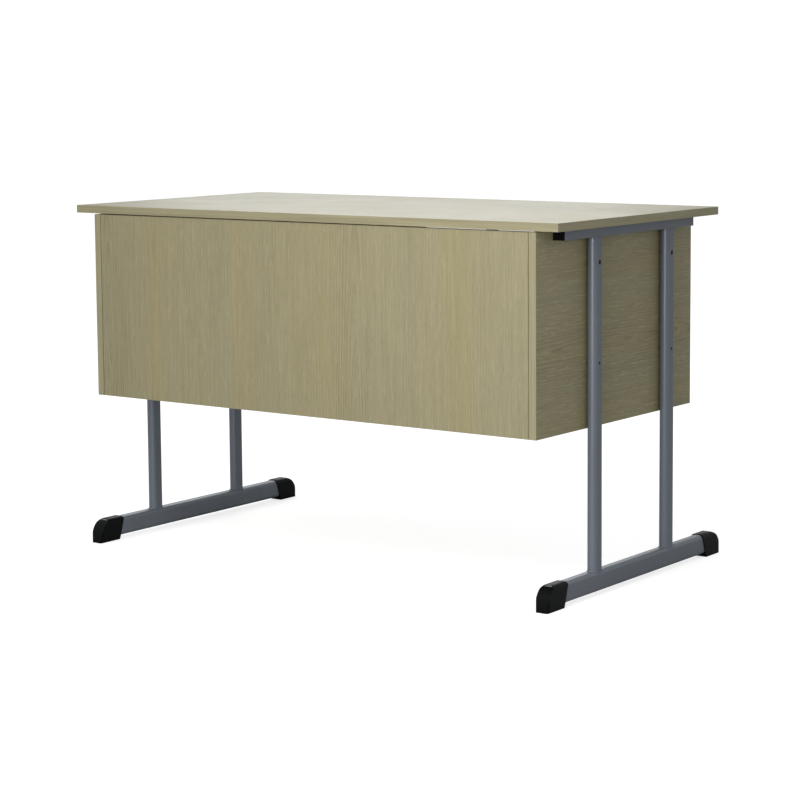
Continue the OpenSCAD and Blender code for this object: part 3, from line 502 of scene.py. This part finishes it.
def add_piece(name, points, faces, body, material):
    """A new mesh piece that rides on a CAD body; it is smooth apart from its sharp edges."""
    mesh = bpy.data.meshes.new(name)
    mesh.from_pydata(points, [], faces)
    mesh.validate()
    mesh.shade_smooth()
    mesh.set_sharp_from_angle(angle=math.radians(38))
    mesh.materials.append(material)
    made = bpy.data.objects.new(name, mesh)
    bpy.context.scene.collection.objects.link(made)
    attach(made, body)
    return made


# ---------------------------------------------------------------- screws

HEAD_POINTS = 24
CROSS_CORNER = math.radians(15)


def cross_reach(angle, arm):
    """Distance from the middle to the outline of a cross recess whose arms are arm long."""
    quarter = math.pi / 2
    turn = abs((angle + quarter / 2) % quarter - quarter / 2)
    if turn <= CROSS_CORNER + 0.01:
        return arm / math.cos(turn)
    return arm * math.tan(CROSS_CORNER) / math.sin(turn)


def screw_mesh(length, shank, head, height, pointed):
    """Points and faces of a pan head screw along +Z: its head ends at zero, below its shank."""
    points, faces = [], []

    def ring(level, radii):
        start, step = len(points), 2 * math.pi / len(radii)
        points.extend((r * math.cos(i * step), r * math.sin(i * step), level)
                      for i, r in enumerate(radii))
        return list(range(start, start + len(radii)))

    def bridge(lower, upper):
        count = len(upper)
        for i in range(count):
            j = (i + 1) % count
            if len(lower) == count:
                faces.append((lower[i], lower[j], upper[j], upper[i]))
            else:
                faces.append((lower[2 * i], lower[2 * i + 1], upper[i]))
                faces.append((lower[2 * i + 1], lower[2 * j], upper[j], upper[i]))

    angles = [2 * math.pi * i / HEAD_POINTS for i in range(HEAD_POINTS)]
    cross = [cross_reach(angle, 0.5 * head) for angle in angles]
    points.append((0, 0, -0.35 * height))
    rings = [ring(-0.45 * height, [0.7 * r for r in cross]), ring(-height, cross)]
    faces.extend((0, rings[0][(i + 1) % HEAD_POINTS], rings[0][i]) for i in range(HEAD_POINTS))
    for level, share in ((0.97, 0.64), (0.88, 0.78), (0.66, 0.91), (0.35, 0.98), (0.08, 1.0),
                         (0.0, 0.97)):
        rings.append(ring(-level * height, [share * head] * HEAD_POINTS))

    pitch, steps = 0.9 * shank, 5
    around = HEAD_POINTS // 2
    root = 0.72 * shank
    taper = 2.4 * shank if pointed else 0.0
    count = int((length - (0.0 if pointed else 0.3 * shank)) / pitch * steps)
    for k in range(count + 1):
        level = k * pitch / steps
        fade = min(1.0, level / pitch, (length - level) / pitch + 0.1)
        narrow = min(1.0, (length - level) / taper) if pointed else 1.0
        radii = []
        for i in range(around):
            phase = (level / pitch - i / around) % 1.0
            thread = (0.5 + 0.5 * math.cos(2 * math.pi * phase)) ** 2
            radii.append(max(0.06 * shank, narrow * (root + fade * thread * (shank - root))))
        rings.append(ring(level, radii))
    for lower, upper in zip(rings, rings[1:]):
        bridge(lower, upper)
    points.append((0, 0, length))
    end, last = len(points) - 1, rings[-1]
    faces.extend((last[i], last[(i + 1) % around], end) for i in range(around))
    return points, faces


def islands(node):
    """The separate solids of a CAD node, each as a list of its points."""
    shape = bmesh.new()
    shape.from_mesh(node.data)
    bmesh.ops.remove_doubles(shape, verts=shape.verts, dist=0.002 * MM)
    left, found = set(shape.verts), []
    while left:
        stack, group = [left.pop()], []
        while stack:
            vertex = stack.pop()
            group.append(vertex.co.copy())
            for edge in vertex.link_edges:
                other = edge.other_vert(vertex)
                if other in left:
                    left.remove(other)
                    stack.append(other)
        found.append(group)
    shape.free()
    return sorted(found, key=lambda group: tuple(round(c, 5) for c in min(group, key=tuple)))


def read_screw(points):
    """Axis, direction, underside of the head, length and radii of a plain CAD screw."""
    low = Vector([min(p[k] for p in points) for k in range(3)])
    high = Vector([max(p[k] for p in points) for k in range(3)])
    axis = max(range(3), key=lambda k: high[k] - low[k])
    middle = (low + high) / 2
    radius = lambda p: math.hypot(*(p[k] - middle[k] for k in range(3) if k != axis))
    first = max(radius(p) for p in points if p[axis] < low[axis] + 0.01 * MM)
    last = max(radius(p) for p in points if p[axis] > high[axis] - 0.01 * MM)
    sign = 1 if first > last else -1
    head, shank = max(first, last), min(first, last)
    wide = [p[axis] for p in points if radius(p) > (head + shank) / 2]
    under = max(wide) if sign > 0 else min(wide)
    tip = high[axis] if sign > 0 else low[axis]
    place = middle.copy()
    place[axis] = under
    direction = Vector([sign if k == axis else 0 for k in range(3)])
    sizes = (abs(tip - under), shank, head, max(wide) - min(wide))
    return place, direction, tuple(round(size, 6) for size in sizes)


def threaded(node_name, material, pointed=True):
    """Replaces a node's plain screws by threaded ones with a cross recess."""
    templates, points, faces = {}, [], []
    turns = random.Random(node_name)
    for group in islands(frame["nodes"][node_name]):
        place, direction, sizes = read_screw(group)
        if sizes not in templates:
            templates[sizes] = screw_mesh(*sizes, pointed)
        turn = Matrix.Rotation(turns.uniform(0, math.pi / 2), 4, "Z")
        pose = Matrix.Translation(place) @ Z.rotation_difference(direction).to_matrix().to_4x4() @ turn
        start = len(points)
        points.extend(pose @ Vector(p) for p in templates[sizes][0])
        faces.extend(tuple(start + i for i in face) for face in templates[sizes][1])
    made = add_piece(node_name.replace("screws", "threaded_screws"), points, faces,
                     BODY_OF[node_name], material)
    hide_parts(node_name)


for name in ("rail_screws", "bracket_screws", "pedestal_screws", "slide_cabinet_screws",
             "slide_drawer_screws", "hinge_door_screws"):
    threaded(name, zinc)
threaded("panel_screws", rust)
threaded("drawer_handle_screws", zinc, pointed=False)
threaded("door_handle_screws", zinc, pointed=False)


# ---------------------------------------------------------------- weld beads

def flat_oval(half_x, half_y, spread, spacing):
    """Points and outward directions round an upright's section, grown by spread."""
    bend = half_x
    flat = half_y - half_x
    path = []
    bend_steps = round(math.pi * (bend + spread) / spacing)
    flat_steps = round(2 * flat / spacing)
    for side in (1, -1):
        for i in range(flat_steps):
            y = flat * (2 * i / flat_steps - 1)
            path.append((Vector((side * (bend + spread), side * y, 0)), Vector((side, 0, 0))))
        for i in range(bend_steps):
            angle = math.pi * i / bend_steps
            out = Vector((math.cos(angle), math.sin(angle), 0)) * side
            path.append((out * (bend + spread) + Vector((0, side * flat, 0)), out))
    return path


def weld_bead(middle, half_x, half_y, surface, thick, points, faces):
    """A rippled bead round an upright; surface gives its height at an offset along X."""
    path = flat_oval(half_x, half_y, 0.3 * MM, 0.45 * MM)
    spots = [middle + spot + Z * surface(abs(spot.x)) for spot, _ in path]
    around, count, start = 8, len(path), len(points)
    for k, (_, out) in enumerate(path):
        run = (spots[(k + 1) % count] - spots[k - 1]).normalized()
        side = (out - out.dot(run) * run).normalized()
        lift = run.cross(side)
        ripple = 0.16 * math.sin(k * 0.9) + 0.08 * math.sin(k * 0.23 + 1.0)
        radius = thick * (0.78 + 0.22 * abs(out.y) + ripple)
        for i in range(around):
            angle = 2 * math.pi * i / around
            points.append(spots[k] + radius * (math.cos(angle) * side + math.sin(angle) * lift))
    for k in range(count):
        for i in range(around):
            a, b = start + k * around, start + (k + 1) % count * around
            j = (i + 1) % around
            faces.append((a + i, a + j, b + j, b + i))


def weld_beads():
    """Beads where each upright meets its rail and its foot bar."""
    points, faces = [], []
    for side in ("left", "right"):
        rail_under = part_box(side + "_top_rail")[0][2]
        bar_low, bar_high = (Vector(corner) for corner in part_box(side + "_foot_bar"))
        half_bar, corner = (bar_high.x - bar_low.x) / 2, 8.0 * MM

        def bar_top(offset):
            over = max(0.0, offset - (half_bar - corner))
            return bar_high.z - corner + math.sqrt(corner ** 2 - over ** 2)

        for end in ("front", "rear"):
            low, high = (Vector(corner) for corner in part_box(f"{side}_{end}_upright"))
            middle = (low + high) / 2
            middle.z = 0
            half = (high - low) / 2
            weld_bead(middle, half.x, half.y, bar_top, 1.7 * MM, points, faces)
            weld_bead(middle, half.x, half.y, lambda offset: rail_under - 0.2 * MM, 1.5 * MM,
                      points, faces)
    add_piece("weld_beads", points, faces, "desk", paint)


weld_beads()


# ---------------------------------------------------------------- stage, light and camera

def floor_material():
    recipe = Recipe("floor", Roughness=0.9)
    clouds = recipe.noise(recipe.place, scale=0.8, detail=3)
    colour = recipe.mix(recipe.span(clouds, 0.3, 0.7), (0.48, 0.48, 0.48), (0.52, 0.52, 0.52))
    recipe.surface.inputs["Emission Color"].default_value = (1, 1, 1, 1)
    path = recipe.node("LightPath", {}).outputs["Is Camera Ray"]
    recipe.feed(recipe.surface.inputs["Emission Strength"], recipe.span(path, 0.0, 1.0, 0.0, 0.72))
    return recipe.finish(colour)


def floor():
    """A wide plain floor at the object's foot."""
    half = 60.0
    mesh = bpy.data.meshes.new("floor")
    shape = bmesh.new()
    bmesh.ops.create_grid(shape, x_segments=8, y_segments=8, size=half)
    bmesh.ops.translate(shape, verts=shape.verts, vec=Z * cad_box[0].z)
    shape.to_mesh(mesh)
    shape.free()
    made = bpy.data.objects.new("floor", mesh)
    made.data.materials.append(floor_material())
    bpy.context.scene.collection.objects.link(made)


def area_light(name, place, target, size, watts, mirrored=True):
    lamp = bpy.data.lights.new(name, "AREA")
    lamp.shape = "SQUARE"
    lamp.size = size
    lamp.energy = watts
    made = bpy.data.objects.new(name, lamp)
    made.visible_camera = False
    made.visible_glossy = mirrored
    made.location = place
    made.rotation_euler = (Vector(target) - Vector(place)).to_track_quat("-Z", "Y").to_euler()
    bpy.context.scene.collection.objects.link(made)


def sun_light(name, azimuth, elevation, softness, strength):
    """A broad soft light from an azimuth, 0 being the -Y side and 90 the +X side."""
    turn, rise = math.radians(azimuth), math.radians(elevation)
    lamp = bpy.data.lights.new(name, "SUN")
    lamp.angle = math.radians(softness)
    lamp.energy = strength
    made = bpy.data.objects.new(name, lamp)
    towards = Vector((math.sin(turn) * math.cos(rise), -math.cos(turn) * math.cos(rise),
                      math.sin(rise)))
    made.rotation_euler = (-towards).to_track_quat("-Z", "Y").to_euler()
    bpy.context.scene.collection.objects.link(made)


def world():
    """A white room: dim for diffuse light, bright in reflections, the floor's tone to the eye."""
    made = bpy.data.worlds.new("studio")
    made.use_nodes = True
    tree = made.node_tree
    background = tree.nodes["Background"]
    background.inputs["Color"].default_value = (0.965, 1.0, 0.985, 1)
    path = tree.nodes.new("ShaderNodeLightPath")
    gloss = tree.nodes.new("ShaderNodeMapRange")
    gloss.inputs["To Min"].default_value = 0.46
    gloss.inputs["To Max"].default_value = 0.64
    seen = tree.nodes.new("ShaderNodeMix")
    seen.inputs[3].default_value = 1.05
    tree.links.new(path.outputs["Is Glossy Ray"], gloss.inputs["Value"])
    tree.links.new(path.outputs["Is Camera Ray"], seen.inputs[0])
    tree.links.new(gloss.outputs[0], seen.inputs[2])
    tree.links.new(seen.outputs[0], background.inputs["Strength"])
    bpy.context.scene.world = made


def camera():
    """Camera at the photograph's angle: yaw from +Y towards +X, then down, then a slight roll."""
    yaw, down, roll = (math.radians(a) for a in (36.04, 6.18, -0.41))
    forward = Vector((-math.sin(yaw) * math.cos(down), math.cos(yaw) * math.cos(down),
                      -math.sin(down)))
    level = Vector((math.cos(yaw), math.sin(yaw), 0))
    up = level.cross(forward)
    right = math.cos(roll) * level + math.sin(roll) * up
    top = math.cos(roll) * up - math.sin(roll) * level
    lens = bpy.data.cameras.new("camera")
    lens.lens = 101.96
    lens.shift_x = -0.02035
    lens.shift_y = -0.1
    made = bpy.data.objects.new("camera", lens)
    made.matrix_world = Matrix((right, top, -forward)).transposed().to_4x4()
    made.location = (2.78686, -3.76917, 0.98791)
    bpy.context.scene.collection.objects.link(made)
    bpy.context.scene.camera = made


floor()
sun_light("sun", -5, 42, 50, 0.72)
area_light("key", (0.55, -1.2, 1.5), (0.3, -0.3, 0.5), 0.8, 8.5, mirrored=False)
area_light("front", (1.05, -2.8, 0.75), (0.35, -0.2, 0.42), 1.1, 24.0)
area_light("back_sheen", (-2.2, 3.0, 2.4), (0.0, 0.0, 0.45), 2.0, 25.5)
area_light("back_fill", (-2.2, 3.0, 2.4), (0.0, 0.0, 0.45), 2.0, 19.5, mirrored=False)
world()
camera()
bpy.context.scene.view_settings.view_transform = "Standard"
